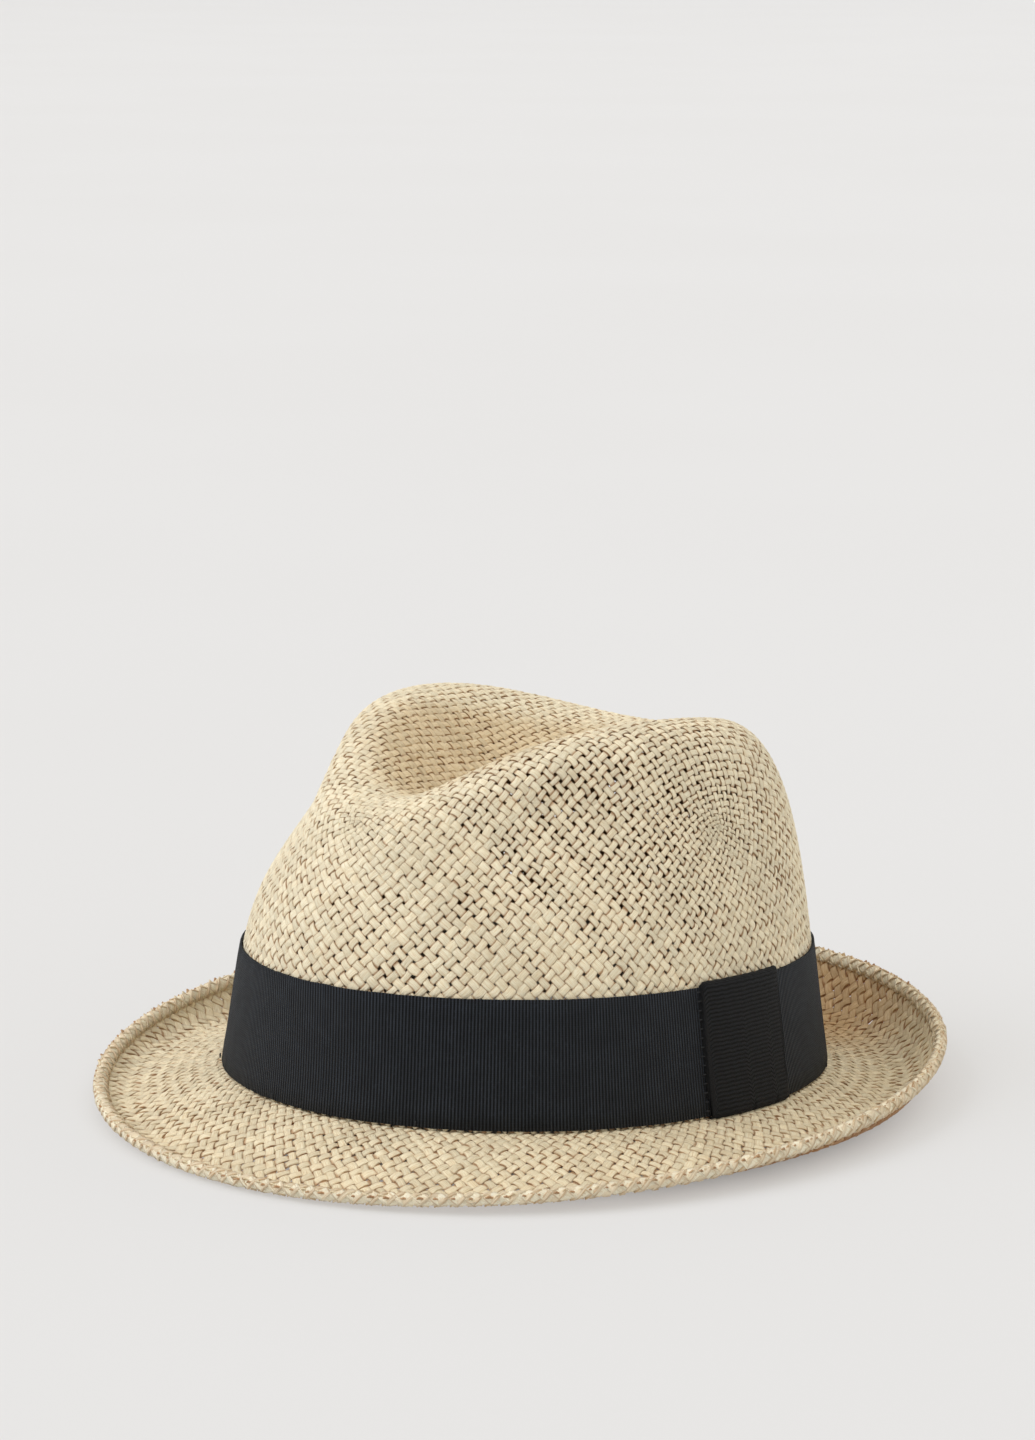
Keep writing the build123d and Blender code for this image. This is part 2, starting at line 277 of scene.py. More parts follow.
def feed(tree, node, inputs):
    """Sets or links some of a node's inputs."""
    for name, value in inputs.items():
        if isinstance(value, bpy.types.NodeSocket):
            tree.links.new(value, node.inputs[name])
        else:
            node.inputs[name].default_value = value


def put(tree, kind, inputs=None, **settings):
    """Adds a node with its settings and its inputs."""
    node = tree.nodes.new(kind)
    for name, value in settings.items():
        setattr(node, name, value)
    feed(tree, node, inputs or {})
    return node


def math_of(tree, operation, *values):
    return put(tree, "ShaderNodeMath", dict(enumerate(values)), operation=operation).outputs[0]


def vector_of(tree, operation, *values):
    return put(tree, "ShaderNodeVectorMath", dict(enumerate(values)), operation=operation)


def blend_of(tree, share, low, high):
    """Two colours mixed by a share: a Mix node's inputs 6 and 7, and its output 2."""
    return put(tree, "ShaderNodeMix", {0: share, 6: low, 7: high}, data_type="RGBA").outputs[2]


def times_of(tree, body, tint):
    mixed = put(tree, "ShaderNodeMix", {0: 1.0, 6: body, 7: tint}, data_type="RGBA", blend_type="MULTIPLY")
    return mixed.outputs[2]


def stained(tree, body, mask, amount, colour):
    """A body colour with up to an amount of another, where the mask says."""
    return blend_of(tree, math_of(tree, "MULTIPLY", mask, amount), body, colour)


def noise_of(tree, place, scale, detail, roughness=0.5, distortion=0.0):
    noise = put(tree, "ShaderNodeTexNoise", {"Vector": place, "Scale": scale, "Detail": detail})
    feed(tree, noise, {"Roughness": roughness, "Distortion": distortion})
    return noise.outputs[0]


def ramp_of(tree, value, low, high, start=0.0, stop=1.0):
    span = {"Value": value, "From Min": low, "From Max": high, "To Min": start, "To Max": stop}
    return put(tree, "ShaderNodeMapRange", span, interpolation_type="SMOOTHSTEP").outputs[0]


def new_group(name, inputs, outputs):
    group = bpy.data.node_groups.new(name, "ShaderNodeTree")
    for label, kind in inputs:
        group.interface.new_socket(label, in_out="INPUT", socket_type=kind)
    for label, kind in outputs:
        group.interface.new_socket(label, in_out="OUTPUT", socket_type=kind)
    return group, group.nodes.new("NodeGroupInput"), group.nodes.new("NodeGroupOutput")


number, vector = "NodeSocketFloat", "NodeSocketVector"


def fibre_group():
    """Long fibres and folds that run along a straw or a thread."""
    inputs = [("Across", number), ("Along", number), ("Seed", number), ("Fineness", number)]
    group, given, out = new_group("fibre_lines", inputs, [("Fibres", number), ("Folds", number)])
    seed = math_of(group, "MULTIPLY", given.outputs["Seed"], 61.0)
    fine_across = math_of(group, "MULTIPLY", given.outputs["Across"], given.outputs["Fineness"])
    fine_along = math_of(group, "MULTIPLY", given.outputs["Along"], 3.4)
    place = put(group, "ShaderNodeCombineXYZ", {0: fine_across, 1: fine_along, 2: seed}).outputs[0]
    fibres = noise_of(group, place, 1.0, 3.0, roughness=0.6)
    fold_across = math_of(group, "MULTIPLY", fine_across, 0.22)
    fold_along = math_of(group, "MULTIPLY", given.outputs["Along"], 1.7)
    fold_place = put(group, "ShaderNodeCombineXYZ", {0: fold_across, 1: fold_along, 2: seed}).outputs[0]
    folds = noise_of(group, fold_place, 1.0, 1.5, distortion=0.5)
    group.links.new(fibres, out.inputs["Fibres"])
    group.links.new(folds, out.inputs["Folds"])
    return group


def rib_group():
    """Round cords laid side by side, each bound by a finer yarn that crosses it."""
    inputs = [("Across", number), ("Along", number), ("Pitch", number), ("Binding", number)]
    group, given, out = new_group("cord_ribs", inputs, [("Ribs", number), ("Yarn", number)])
    turn = math_of(group, "DIVIDE", given.outputs["Along"], given.outputs["Pitch"])
    wave = math_of(group, "PINGPONG", turn, 0.5)
    ribs = math_of(group, "SINE", math_of(group, "MULTIPLY", wave, math.pi))
    half = math_of(group, "MULTIPLY", math_of(group, "FLOOR", turn), 0.5)
    bound = math_of(group, "DIVIDE", given.outputs["Across"], given.outputs["Binding"])
    swing = math_of(group, "PINGPONG", math_of(group, "ADD", bound, half), 0.5)
    yarn = math_of(group, "SINE", math_of(group, "MULTIPLY", swing, math.pi * 2))
    group.links.new(ribs, out.inputs["Ribs"])
    group.links.new(math_of(group, "MULTIPLY", yarn, ribs), out.inputs["Yarn"])
    return group


def patch_group():
    """Slow patches of colour, and scattered flecks."""
    inputs = [("Place", vector), ("Patch Size", number), ("Fleck Size", number)]
    group, given, out = new_group("colour_patches", inputs, [("Patches", number), ("Flecks", number)])
    place = given.outputs["Place"]
    patch_scale = math_of(group, "DIVIDE", 1.0, given.outputs["Patch Size"])
    fleck_scale = math_of(group, "DIVIDE", 1.0, given.outputs["Fleck Size"])
    patches, flecks = noise_of(group, place, patch_scale, 2.0), noise_of(group, place, fleck_scale, 1.0)
    group.links.new(ramp_of(group, patches, 0.35, 0.65), out.inputs["Patches"])
    group.links.new(ramp_of(group, flecks, 0.56, 0.7), out.inputs["Flecks"])
    return group


def spot_group():
    """A soft oval place on the hat: 0 outside its reach, 1 within the full share of it."""
    inputs = [("Place", vector), ("Middle", vector), ("Reach", vector), ("Full", number)]
    group, given, out = new_group("soft_spot", inputs, [("Spot", number)])
    centred = vector_of(group, "SUBTRACT", given.outputs["Place"], given.outputs["Middle"]).outputs[0]
    scaled = vector_of(group, "DIVIDE", centred, given.outputs["Reach"]).outputs[0]
    share = vector_of(group, "LENGTH", scaled).outputs["Value"]
    group.links.new(ramp_of(group, share, 1.0, given.outputs["Full"]), out.inputs["Spot"])
    return group


def inner_group():
    """1 on the faces that look towards a point in or under the hat, 0 on those that look out."""
    inputs = [("Place", vector), ("Facing", vector), ("Heart", vector)]
    group, given, out = new_group("inner_side", inputs, [("Inner", number)])
    ray = vector_of(group, "SUBTRACT", given.outputs["Place"], given.outputs["Heart"]).outputs[0]
    outward = vector_of(group, "NORMALIZE", ray).outputs[0]
    turned = vector_of(group, "DOT_PRODUCT", outward, given.outputs["Facing"]).outputs["Value"]
    group.links.new(ramp_of(group, turned, 0.1, -0.25), out.inputs["Inner"])
    return group


fibre_lines, cord_ribs, colour_patches = fibre_group(), rib_group(), patch_group()
soft_spot, inner_side = spot_group(), inner_group()


def group_of(tree, group, inputs):
    return put(tree, "ShaderNodeGroup", inputs, node_tree=group)


def new_finish(name):
    finish = bpy.data.materials.new(name)
    finish.use_nodes = True
    tree = finish.node_tree
    tree.nodes.clear()
    shader = put(tree, "ShaderNodeBsdfPrincipled")
    put(tree, "ShaderNodeOutputMaterial", {"Surface": shader.outputs[0]})
    return finish, tree, shader


def marks_of(tree, patch_size, fleck_size):
    """Masks of the slow patches and of the flecks."""
    inputs = {"Place": place_of(tree), "Patch Size": patch_size, "Fleck Size": fleck_size}
    marks = group_of(tree, colour_patches, inputs)
    return marks.outputs["Patches"], marks.outputs["Flecks"]


def ribs_of(tree, across, along, pitch, binding):
    """How high the cords stand, and the yarn that binds them."""
    inputs = {"Across": across, "Along": along, "Pitch": pitch, "Binding": binding}
    ribs = group_of(tree, cord_ribs, inputs)
    return ribs.outputs["Ribs"], ribs.outputs["Yarn"]


def lay_of(tree):
    """How far across and along its strap a point lies."""
    split = put(tree, "ShaderNodeSeparateXYZ", {0: put(tree, "ShaderNodeUVMap", uv_map="lay").outputs[0]})
    return split.outputs[0], split.outputs[1]


def value_of(tree, name):
    return put(tree, "ShaderNodeAttribute", attribute_name=name).outputs["Fac"]


def place_of(tree):
    return put(tree, "ShaderNodeTexCoord").outputs["Object"]


def bump_of(tree, height, depth):
    return put(tree, "ShaderNodeBump", {"Height": height, "Distance": depth, "Strength": 1.0}).outputs[0]


def straw_finish(name, cream, tan, stain_and_shade, tone_low, tone_high, painted_inner_shade, heart, painted_shade_spots):
    """Fibrous straw, stained near its edges; darker where it is tucked under, as stain and painted shade; and
    with painted shade on its inner side and in given spots.
    """
    finish, tree, shader = new_finish(name)
    across, along = lay_of(tree)
    tone, rise = value_of(tree, "tone"), value_of(tree, "rise")
    lines = group_of(tree, fibre_lines, {"Across": across, "Along": along, "Seed": tone, "Fineness": 20.0})
    patches, flecks = marks_of(tree, 0.022, 0.0026)
    fibres, folds = lines.outputs["Fibres"], lines.outputs["Folds"]
    body = blend_of(tree, ramp_of(tree, fibres, 0.3, 0.62), tan, cream)
    body = stained(tree, body, flecks, 0.3, tan)
    body = stained(tree, body, patches, 0.12, tan)
    edge = math_of(tree, "ABSOLUTE", math_of(tree, "SUBTRACT", across, 0.5))
    near_edge = math_of(tree, "MULTIPLY", ramp_of(tree, edge, 0.33, 0.5), ramp_of(tree, folds, 0.35, 0.6))
    body = stained(tree, body, near_edge, 0.6, stain_and_shade)
    # Darker where the straw dips under another: painted shade in the weave's hollows, in the stain colour.
    body = stained(tree, body, ramp_of(tree, rise, 0.25, -0.7), 0.7, stain_and_shade)
    # Soft spots of painted shade: the colour is darkened where shade falls in the crown's dent and on the
    # brim behind the crown.
    for middle, reach, full, tint in painted_shade_spots:
        inputs = {"Place": place_of(tree), "Middle": middle, "Reach": reach, "Full": full}
        spot = group_of(tree, soft_spot, inputs)
        body = blend_of(tree, spot.outputs["Spot"], body, times_of(tree, body, tint))
    # Painted shade: faces turned inward or downward are darkened and warmed, so the weave's holes look shaded
    # inside.
    facing = put(tree, "ShaderNodeTexCoord").outputs["Normal"]
    inner = group_of(tree, inner_side, {"Place": place_of(tree), "Facing": facing, "Heart": heart})
    body = blend_of(tree, inner.outputs["Inner"], body, times_of(tree, body, painted_inner_shade))
    bright = ramp_of(tree, tone, 0.0, 1.0, tone_low, tone_high)
    grey = put(tree, "ShaderNodeCombineColor", {0: bright, 1: bright, 2: bright}).outputs[0]
    height = math_of(tree, "ADD", math_of(tree, "MULTIPLY", fibres, 0.45), folds)
    feed(tree, shader, {"Base Color": times_of(tree, body, grey), "Specular IOR Level": 0.35,
                        "Roughness": ramp_of(tree, fibres, 0.25, 0.75, 0.72, 0.5),
                        "Normal": bump_of(tree, height, 0.00042)})
    return finish


def ribbon_finish(name, deep, lit, cord_along):
    """Grosgrain. Its cords cross the ribbon, so they repeat along it."""
    finish, tree, shader = new_finish(name)
    across, along = lay_of(tree)
    if not cord_along:
        across, along = along, math_of(tree, "MULTIPLY", across, keeper_width * 100)
    ridge, yarn = ribs_of(tree, across, along, ribbon_rib * 100, 0.034)
    patches, flecks = marks_of(tree, 0.006, 0.0007)
    body = blend_of(tree, ramp_of(tree, ridge, 0.5, 1.0), deep, lit)
    fleck = (lit[0] * 1.6, lit[1] * 1.6, lit[2] * 1.6, 1)
    body = stained(tree, body, flecks, 0.2, fleck)
    body = stained(tree, body, patches, 0.25, deep)
    height = math_of(tree, "ADD", ridge, math_of(tree, "MULTIPLY", yarn, 0.35))
    feed(tree, shader, {"Base Color": body, "Roughness": ramp_of(tree, yarn, 0.0, 1.0, 0.85, 0.6),
                        "Specular IOR Level": 0.2, "Sheen Weight": 0.04, "Sheen Roughness": 0.4,
                        "Normal": bump_of(tree, height, 0.00034)})
    return finish


def cloth_finish(name, pale, shade, pitch, width_cm, depth, roughness):
    """Twilled cotton or woven tape: fine cords that cross at a slant."""
    finish, tree, shader = new_finish(name)
    across, along = lay_of(tree)
    wide = math_of(tree, "MULTIPLY", across, width_cm)
    slant = math_of(tree, "ADD", along, math_of(tree, "MULTIPLY", wide, 0.8))
    ridge, yarn = ribs_of(tree, wide, slant, pitch, pitch * 0.9)
    patches, flecks = marks_of(tree, 0.012, 0.0012)
    body = blend_of(tree, ridge, shade, pale)
    body = stained(tree, body, patches, 0.3, shade)
    body = stained(tree, body, flecks, 0.25, shade)
    worn = ramp_of(tree, yarn, 0.0, 1.0, roughness + 0.1, roughness - 0.05)
    height = math_of(tree, "ADD", ridge, math_of(tree, "MULTIPLY", yarn, 0.5))
    feed(tree, shader, {"Base Color": body, "Roughness": worn, "Sheen Weight": 0.15,
                        "Normal": bump_of(tree, height, depth)})
    return finish


def thread_finish(name, pale, shade):
    """Spun thread: plies that wind round it."""
    finish, tree, shader = new_finish(name)
    across, along = lay_of(tree)
    slant = math_of(tree, "ADD", along, math_of(tree, "MULTIPLY", across, 0.03))
    plies, _ = ribs_of(tree, along, slant, 0.03, 0.01)
    lines = group_of(tree, fibre_lines, {"Across": across, "Along": along, "Seed": 0.3, "Fineness": 14.0})
    body = blend_of(tree, plies, shade, pale)
    body = stained(tree, body, lines.outputs["Fibres"], 0.4, shade)
    worn = ramp_of(tree, lines.outputs["Fibres"], 0.2, 0.8, 0.6, 0.85)
    feed(tree, shader, {"Base Color": body, "Roughness": worn, "Normal": bump_of(tree, plies, 0.00006)})
    return finish


def floor_finish():
    """A matt pale floor that glows faintly away from the hat."""
    finish, tree, shader = new_finish("studio_floor")
    patches, _ = marks_of(tree, 0.5, 0.002)
    body = stained(tree, (0.305, 0.31, 0.316, 1), patches, 0.5, (0.295, 0.298, 0.302, 1))
    from_middle = vector_of(tree, "LENGTH", place_of(tree)).outputs["Value"]
    feed(tree, shader, {"Base Color": body, "Roughness": 0.9, "Specular IOR Level": 0.15,
                        "Emission Color": (1.0, 0.988, 0.968, 1),
                        "Emission Strength": ramp_of(tree, from_middle, 0.085, 0.13, 0.0, 0.45)})
    return finish


# A painted shade spot is its middle, its reach, the share of the reach that is fully tinted, and its tint:
# painted shade in the crown's dent and on the brim by the back of the crown.
# The inner tint of each straw is painted shade on its inner and under faces.
crown_straw = straw_finish(
    "crown_straw", cream=(0.91, 0.85, 0.65, 1), tan=(0.77, 0.63, 0.405, 1), stain_and_shade=(0.36, 0.145, 0.035, 1),
    tone_low=0.9, tone_high=1.05, painted_inner_shade=(0.82, 0.68, 0.5, 1), heart=(0, 0, 0),
    painted_shade_spots=[((0.007, 0, 0), (0.063, 0.04, 10), 0.7, (0.84, 0.77, 0.68, 1))])
brim_straw = straw_finish(
    "brim_straw", cream=(0.90, 0.82, 0.60, 1), tan=(0.73, 0.575, 0.35, 1), stain_and_shade=(0.38, 0.165, 0.05, 1),
    tone_low=0.88, tone_high=1.04, painted_inner_shade=(0.8, 0.66, 0.5, 1), heart=(0, 0, -1),
    painted_shade_spots=[((-0.105, 0.03, 0.015), (0.065, 0.055, 0.05), 0.3, (0.76, 0.6, 0.45, 1))])
edge_straw = straw_finish(
    "edge_straw", cream=(0.91, 0.86, 0.68, 1), tan=(0.80, 0.69, 0.48, 1), stain_and_shade=(0.50, 0.31, 0.15, 1),
    tone_low=0.92, tone_high=1.05, painted_inner_shade=(1, 1, 1, 1), heart=(0, 0, -1), painted_shade_spots=[])
band_ribbon = ribbon_finish("band_ribbon", (0.0007, 0.0012, 0.0021, 1), (0.026, 0.033, 0.043, 1), True)
keeper_ribbon = ribbon_finish("keeper_ribbon", (0.0007, 0.001, 0.0016, 1), (0.0045, 0.0065, 0.0095, 1), False)
sweatband_cotton = cloth_finish(
    "sweatband_cotton", pale=(0.70, 0.64, 0.52, 1), shade=(0.55, 0.49, 0.38, 1),
    pitch=0.05, width_cm=2.8, depth=0.0001, roughness=0.8)
tape_cotton = cloth_finish(
    "tape_cotton", pale=(0.66, 0.60, 0.48, 1), shade=(0.50, 0.44, 0.33, 1),
    pitch=0.04, width_cm=1.2, depth=0.00008, roughness=0.85)
label_satin = cloth_finish(
    "label_satin", pale=(0.74, 0.70, 0.62, 1), shade=(0.62, 0.58, 0.50, 1),
    pitch=0.02, width_cm=2.4, depth=0.00004, roughness=0.5)
pale_thread = thread_finish("pale_thread", (0.72, 0.66, 0.54, 1), (0.50, 0.44, 0.33, 1))
dark_thread = thread_finish("dark_thread", (0.016, 0.018, 0.022, 1), (0.006, 0.007, 0.008, 1))


# ---------------------------------------------------------------- the crown's weave

crown_skin = outer_skin(nodes["straw_crown"])
crown_tree = BVHTree.FromBMesh(crown_skin)
low_verts = [v for v in crown_skin.verts if v.co.z < foot_below]
rim = np.array([v.co[:] for v in low_verts if any(e.is_boundary for e in v.link_edges)])
crown_skin.free()
rim = rim[np.argsort(np.arctan2(rim[:, 1] - hat_centre[1], rim[:, 0] - hat_centre[0]))]
rim_angles = np.arctan2(rim[:, 1] - hat_centre[1], rim[:, 0] - hat_centre[0])


def rim_at(angles):
    """Foot of the crown at each angle from the front."""
    turned = (np.asarray(angles) + math.pi) % (2 * math.pi) - math.pi
    known = np.concatenate([rim_angles - 2 * math.pi, rim_angles, rim_angles + 2 * math.pi])
    return np.stack([np.interp(turned, known, np.tile(rim[:, axis], 3)) for axis in range(3)], 1)


round_angles = np.linspace(0, 2 * math.pi, 1441)
rim_lengths = run_along(rim_at(round_angles))


def even_angles(shares):
    """Angles that stand at equal lengths round the foot of the crown."""
    return np.interp(np.asarray(shares) % 1.0 * rim_lengths[-1], rim_lengths, round_angles)


def crossings_of_crown():
    """Each straw as the crossings that it makes, in order: +1 where it passes over, -1 where it passes under.

    The top is a square patch of straws laid along and across the hat. Its straws run on down the wall as two
    crossed spirals, so four three-way corners stand at the front, the back and the sides.
    """
    found, around = {}, 4 * top_reach

    def crossing(*key):
        return found.setdefault(key, len(found))

    def down_the_wall(start, lean):
        path = []
        for row in range(1, wall_rows + 1):
            column = round(2 * start + lean * row) % (2 * around)
            over = row % 2 == (1 if lean < 0 else 0)
            path.append((crossing("wall", row, column), 1 if over else -1))
        return path

    straws = []
    for part in range(-top_reach, top_reach):
        offset = part + 0.5
        outward = 1 if offset > 0 else -1
        reach = top_reach - abs(offset)
        for lengthwise in (True, False):
            top = []
            for place in np.arange(-reach, reach + 0.1):
                x, y = (place, offset) if lengthwise else (offset, place)
                long_over = (math.floor(x) + math.floor(y)) % 2 == 0
                top.append((crossing("top", float(x), float(y)), 1 if long_over == lengthwise else -1))
            if lengthwise:
                first = down_the_wall(2 * top_reach - offset, outward)
                last = down_the_wall(offset, -outward)
            else:
                first = down_the_wall(3 * top_reach + offset, -outward)
                last = down_the_wall(top_reach - offset, outward)
            straws.append(first[::-1] + top + last)
    return list(found), straws


def first_places(keys):
    """Rough places for the crossings, along rays from inside the hollow."""
    heart = Vector((hat_centre[0], hat_centre[1], 0.045))
    rays, samples = 180, 60
    lines = []
    for angle in np.linspace(0, 2 * math.pi, rays, endpoint=False):
        foot = Vector(rim_at([angle])[0])
        low = heart.z - foot.z
        widest = math.atan2((foot - heart).to_2d().length, -low)
        line = []
        for tip in np.linspace(0, widest - 0.01, samples):
            way = plan_direction(angle) * math.sin(tip) + Vector((0, 0, math.cos(tip)))
            hit = crown_tree.ray_cast(heart, way)[0]
            line.append(tuple(hit) if hit else line[-1])
        lines.append(line + [tuple(foot)])
    lines = np.array(lines)
    lengths = np.array([run_along(line) for line in lines])
    around = 4 * top_reach
    places = np.zeros((len(keys), 3))
    for at, (zone, first, second) in enumerate(keys):
        if zone == "top":
            angle, length = math.atan2(second, first), first_pitch * math.hypot(first, second)
            line = round(angle / (2 * math.pi) * rays) % rays
        else:
            column = second / 2
            line = round(column / around * rays) % rays
            side = column % top_reach
            edge = first_pitch * math.hypot(top_reach - side, side)
            length = edge + (lengths[line, -1] - edge) * first / wall_rows
        places[at] = [np.interp(length, lengths[line], lines[line, :, axis]) for axis in range(3)]
    return places


def settled(places, near, loose):
    """Lets the crossings share out the surface evenly, each drawn to the middle of its neighbours."""
    speed, normals = np.zeros_like(places), np.zeros_like(places)
    moving = np.where(loose)[0]
    for _ in range(settle_rounds):
        speed = 0.8 * speed + 0.9 * (places[near].mean(1) - places)
        speed[~loose] = 0
        places = places + speed
        for at in moving:
            spot, normal, _, _ = crown_tree.find_nearest(Vector(places[at]))
            places[at], normals[at] = spot, normal
        speed -= normals * (speed * normals).sum(1, keepdims=True)
    for at in np.where(~loose)[0]:
        normals[at] = crown_tree.find_nearest(Vector(places[at]))[1]
    for _ in range(3):
        normals = unit(normals + normals[near].mean(1))
    return places, normals


def strayed(places, normals, reach):
    """Crossings moved a little by chance, within the surface."""
    slip = chance.normal(0, reach, places.shape)
    return places + slip - normals * (slip * normals).sum(1, keepdims=True)


def slack_at(spots):
    """How far the straws fill their room at a place: less where the weave is more open."""
    x, y, z = spots[:, 0] * 100, spots[:, 1] * 100, spots[:, 2] * 100
    slow = np.sin(1.1 * x + 0.7 * y + 0.5) * np.sin(0.9 * y - 0.8 * z + 1.2)
    quick = 0.6 * np.sin(2.3 * x - 1.9 * z) * np.sin(2.1 * y + 0.4)
    drift = slow + quick
    opened = np.exp(-((x - 1.0) / 5.0) ** 2 - ((y - 5.0) / 4.0) ** 2 - ((z - 9.0) / 3.5) ** 2)
    return 1.0 - 0.045 * drift - 0.3 * opened


def meetings_of(keys, straws):
    """For each crossing, the four next to it, padded with itself, and the straws that meet there."""
    near, met = [[] for _ in keys], [[] for _ in keys]
    for straw_number, straw in enumerate(straws):
        for step, (at, _) in enumerate(straw):
            met[at].append((straw_number, step))
        for (before, _), (after, _) in zip(straw, straw[1:]):
            near[before].append(after)
            near[after].append(before)
    return np.array([(others + [at] * 4)[:4] for at, others in enumerate(near)]), met


def room_beside(straw_number, straws, met, places):
    """How far off the next straws on both sides lie, at each crossing of a straw."""
    ids, room = [at for at, _ in straws[straw_number]], []
    for step, at in enumerate(ids):
        gaps = []
        for other, where in met[at]:
            if other != straw_number:
                line = straws[other]
                for beside in (where - 1, where + 1):
                    if 0 <= beside < len(line):
                        gaps.append(places[line[beside][0]] - places[at])
        own = unit(places[ids[min(step + 1, len(ids) - 1)]] - places[ids[max(step - 1, 0)]])
        reaches = [np.linalg.norm(gap - own * (gap @ own)) for gap in gaps]
        room.append(np.mean(reaches) if reaches else straw_width)
    room = np.array(room)
    room[1:-1] = (room[:-2] + 2 * room[1:-1] + room[2:]) / 4
    return room


def weave_crown():
    keys, straws = crossings_of_crown()
    near, met = meetings_of(keys, straws)
    places = first_places(keys)
    fixed = np.array([zone == "wall" and row == wall_rows for zone, row, _ in keys])
    columns = np.array([key[2] / 2 if key[0] == "wall" else 0 for key in keys])
    places[fixed] = rim_at(even_angles(columns[fixed] / (4 * top_reach)))
    places, normals = settled(places, near, ~fixed)
    places = strayed(places - normals * wall_thickness / 2, normals, crossing_slip)
    straps = []
    for straw_number, straw in enumerate(straws):
        ids = [at for at, _ in straw]
        signs = np.array([sign for _, sign in straw])
        room = room_beside(straw_number, straws, met, places)
        widths = np.minimum(straw_width, room * crown_fill * slack_at(places[ids]))
        widths = widths * chance.normal(1, 0.1, len(ids)) * chance.uniform(0.76, 1.1)
        straps.append(straw_strap(places[ids], normals[ids], signs, widths, chance.uniform()))
    for number_of in range(crown_pieces):
        share = straps[number_of::crown_pieces]
        piece = strap_piece(f"crown_weave_{number_of + 1}", share, crown_straw, straw_thickness)
        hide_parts("straw_crown")


# ---------------------------------------------------------------- the brim's weave

brim_tree = whole_skin(nodes["straw_brim"])
brim_angles = np.linspace(0, 2 * math.pi, 481)
brim_shares = np.linspace(0, 1, 61)


def brim_edge(angle):
    """How far out the brim reaches at an angle."""
    way, heart = plan_direction(angle), Vector((*hat_centre, 0.1))
    near_in, far_out = 0.115, 0.16
    for _ in range(14):
        middle = (near_in + far_out) / 2
        hit = brim_tree.ray_cast(heart + way * middle, Vector((0, 0, -1)))[0]
        near_in, far_out = (middle, far_out) if hit else (near_in, middle)
    return near_in


def brim_table():
    """Points on the brim's upper face, by angle and by share of the way out."""
    table = np.zeros((len(brim_angles), len(brim_shares), 3))
    for row, angle in enumerate(brim_angles):
        way = plan_direction(angle)
        foot = Vector(rim_at([angle])[0])
        start = (foot - Vector((*hat_centre, 0))).to_2d().length - 0.0016
        stop = brim_edge(angle) - 0.0003
        for column, share in enumerate(brim_shares):
            spot = Vector((*hat_centre, 0.1)) + way * (start + (stop - start) * share)
            hit = brim_tree.ray_cast(spot, Vector((0, 0, -1)))[0]
            table[row, column] = hit if hit else table[row, column - 1]
        table[row] = evenly(table[row], len(brim_shares))
    return table


def from_table(table, angles, shares):
    """Smooth reading of a table of points by angle and share."""
    row = (np.asarray(angles) % (2 * math.pi)) / (2 * math.pi) * (len(brim_angles) - 1)
    column = np.clip(shares, 0, 1) * (len(brim_shares) - 1)
    row_low = np.minimum(row.astype(int), len(brim_angles) - 2)
    column_low = np.minimum(column.astype(int), len(brim_shares) - 2)
    down, side = (row - row_low)[:, None], (column - column_low)[:, None]
    corners = ((0, 0, (1 - down) * (1 - side)), (1, 0, down * (1 - side)),
               (0, 1, (1 - down) * side), (1, 1, down * side))
    return sum(share * table[row_low + lower, column_low + farther] for lower, farther, share in corners)


def weave_brim():
    """Two crossed spirals that open out with the brim, and the wound edge that holds their ends."""
    table = brim_table()
    around_way = np.gradient(table, axis=0)
    out_way = np.gradient(table, axis=1)
    upright = unit(np.cross(out_way, around_way))
    upright[upright[..., 2] < 0] *= -1
    inner, outer = 0.095, 0.138      # rough radii of the brim's foot and edge
    shares = (inner * (outer / inner) ** (np.arange(brim_rows + 1) / brim_rows) - inner) / (outer - inner)
    straps = []
    for lean in (1, -1):
        for straw in range(brim_straws):
            rows = np.arange(brim_rows + 1)
            turns = (straw + lean * rows / 2) / brim_straws
            angles = even_angles(turns)
            places, normals = from_table(table, angles, shares), unit(from_table(upright, angles, shares))
            places = strayed(places - normals * wall_thickness / 2, normals, brim_slip)
            signs = np.where(rows % 2 == (1 if lean < 0 else 0), 1, -1)
            room = rim_lengths[-1] * (1 + shares * edge_growth) / brim_straws * lean_share
            widths = np.minimum(straw_width * 1.1, room * brim_fill * slack_at(places))
            widths = widths * chance.normal(1, 0.085, len(rows)) * chance.uniform(0.8, 1.07)
            straps.append(straw_strap(places, normals, signs, widths, chance.uniform()))
    for number_of in range(brim_pieces):
        share = straps[number_of::brim_pieces]
        piece = strap_piece(f"brim_weave_{number_of + 1}", share, brim_straw, straw_thickness)
        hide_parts("straw_brim")
    wind_edge(table, upright, out_way)


def at_angles(source, angles):
    """Points or directions read from a ring of them at some angles."""
    return np.stack([np.interp(angles, brim_angles, source[:, axis]) for axis in range(3)], -1)


